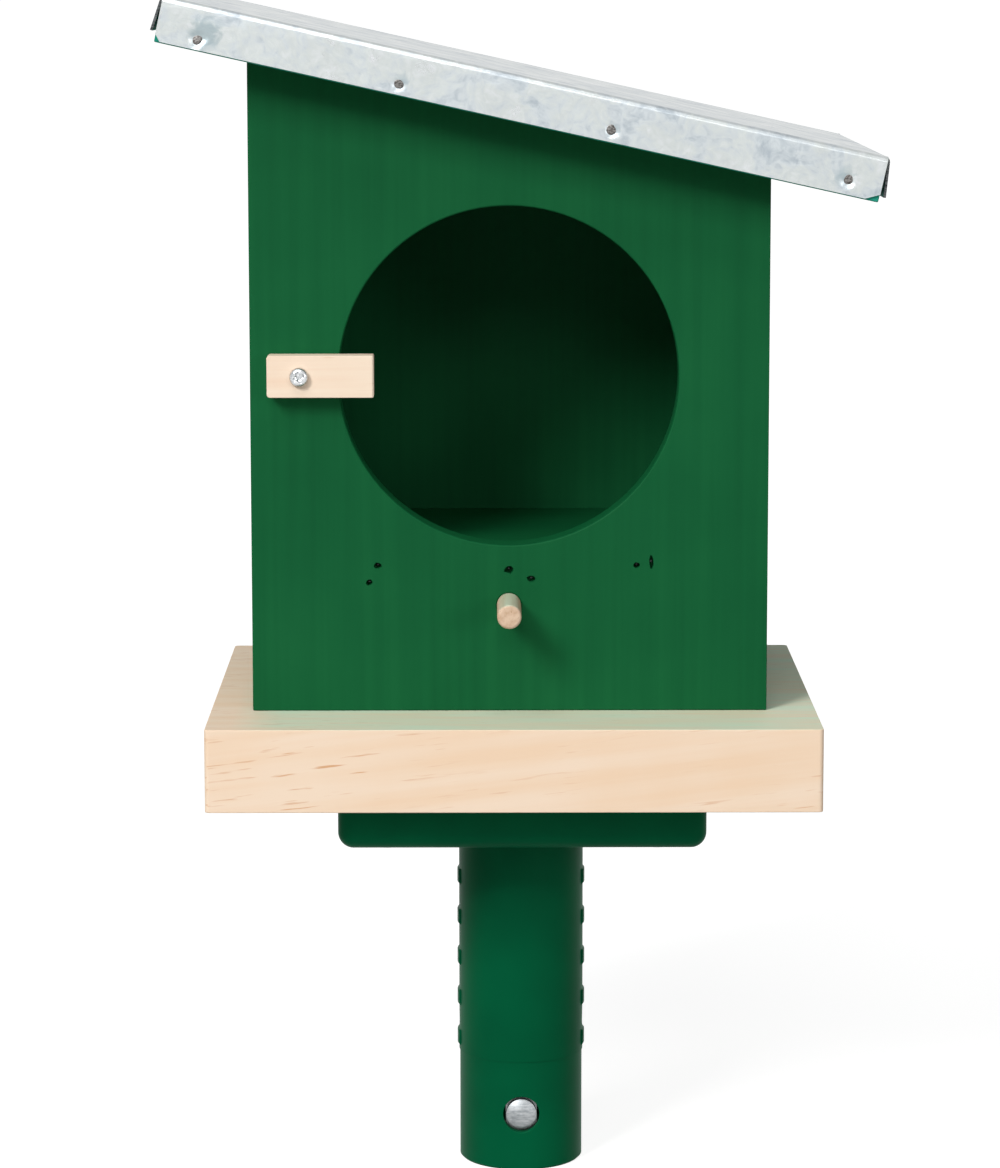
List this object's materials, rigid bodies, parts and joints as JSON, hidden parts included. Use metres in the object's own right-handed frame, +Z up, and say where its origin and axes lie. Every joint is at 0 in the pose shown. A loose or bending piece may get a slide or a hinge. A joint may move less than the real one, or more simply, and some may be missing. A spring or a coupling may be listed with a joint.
{
  "type": "bird feeder",
  "caption": "Pole-mounted wooden bird feeder with a sloping metal-clad roof, a round feeding opening, a turn-button latch, a perch and a tube socket with a snap button.",
  "frame": {"origin": "middle of the lower end face of the socket tube, on the tube's axis", "axes": "+Z up along the tube, the front with the round opening faces -Y, +X to the right as seen from the front"},
  "size_m": [0.1787, 0.1478, 0.3037],
  "materials": {
    "bare_pine": "planed bare pine",
    "green_paint": "softwood board with thin satin green paint",
    "galvanised_sheet": "dull galvanised sheet",
    "perch_wood": "bare birch dowel",
    "latch_wood": "planed bare pine",
    "plated_screw": "zinc plated",
    "socket_plastic": "moulded satin green plastic",
    "spring_steel": "plain spring steel"
  },
  "bodies": {
    "house": {"platform": "bare_pine", "front_wall": "green_paint", "left_wall": "green_paint", "right_wall": "green_paint", "back_wall": "green_paint", "inner_floor": "green_paint", "roof_board": "green_paint", "roof_sheet": "galvanised_sheet", "perch": "perch_wood", "latch_screw": "plated_screw", "socket_flange": "socket_plastic", "socket_tube": "socket_plastic", "button_spring": "spring_steel"},
    "turn_button": {"latch": "latch_wood"},
    "snap_button": {"snap_button": "plated_screw"}
  },
  "joints": [
    {"name": "latch_turn", "type": "hinge", "parent": "house", "child": "turn_button", "pos_m": [-0.0551, -0.0403, 0.2105], "axis": [0, -1, 0], "continuous": true},
    {"name": "button_press", "type": "slide", "parent": "house", "child": "snap_button", "axis": [0, 1, 0], "range_m": [0, 0.004], "stiffness_N_per_m": 800, "springref_m": -0.002, "deforming": ["button_spring"]}
  ]
}
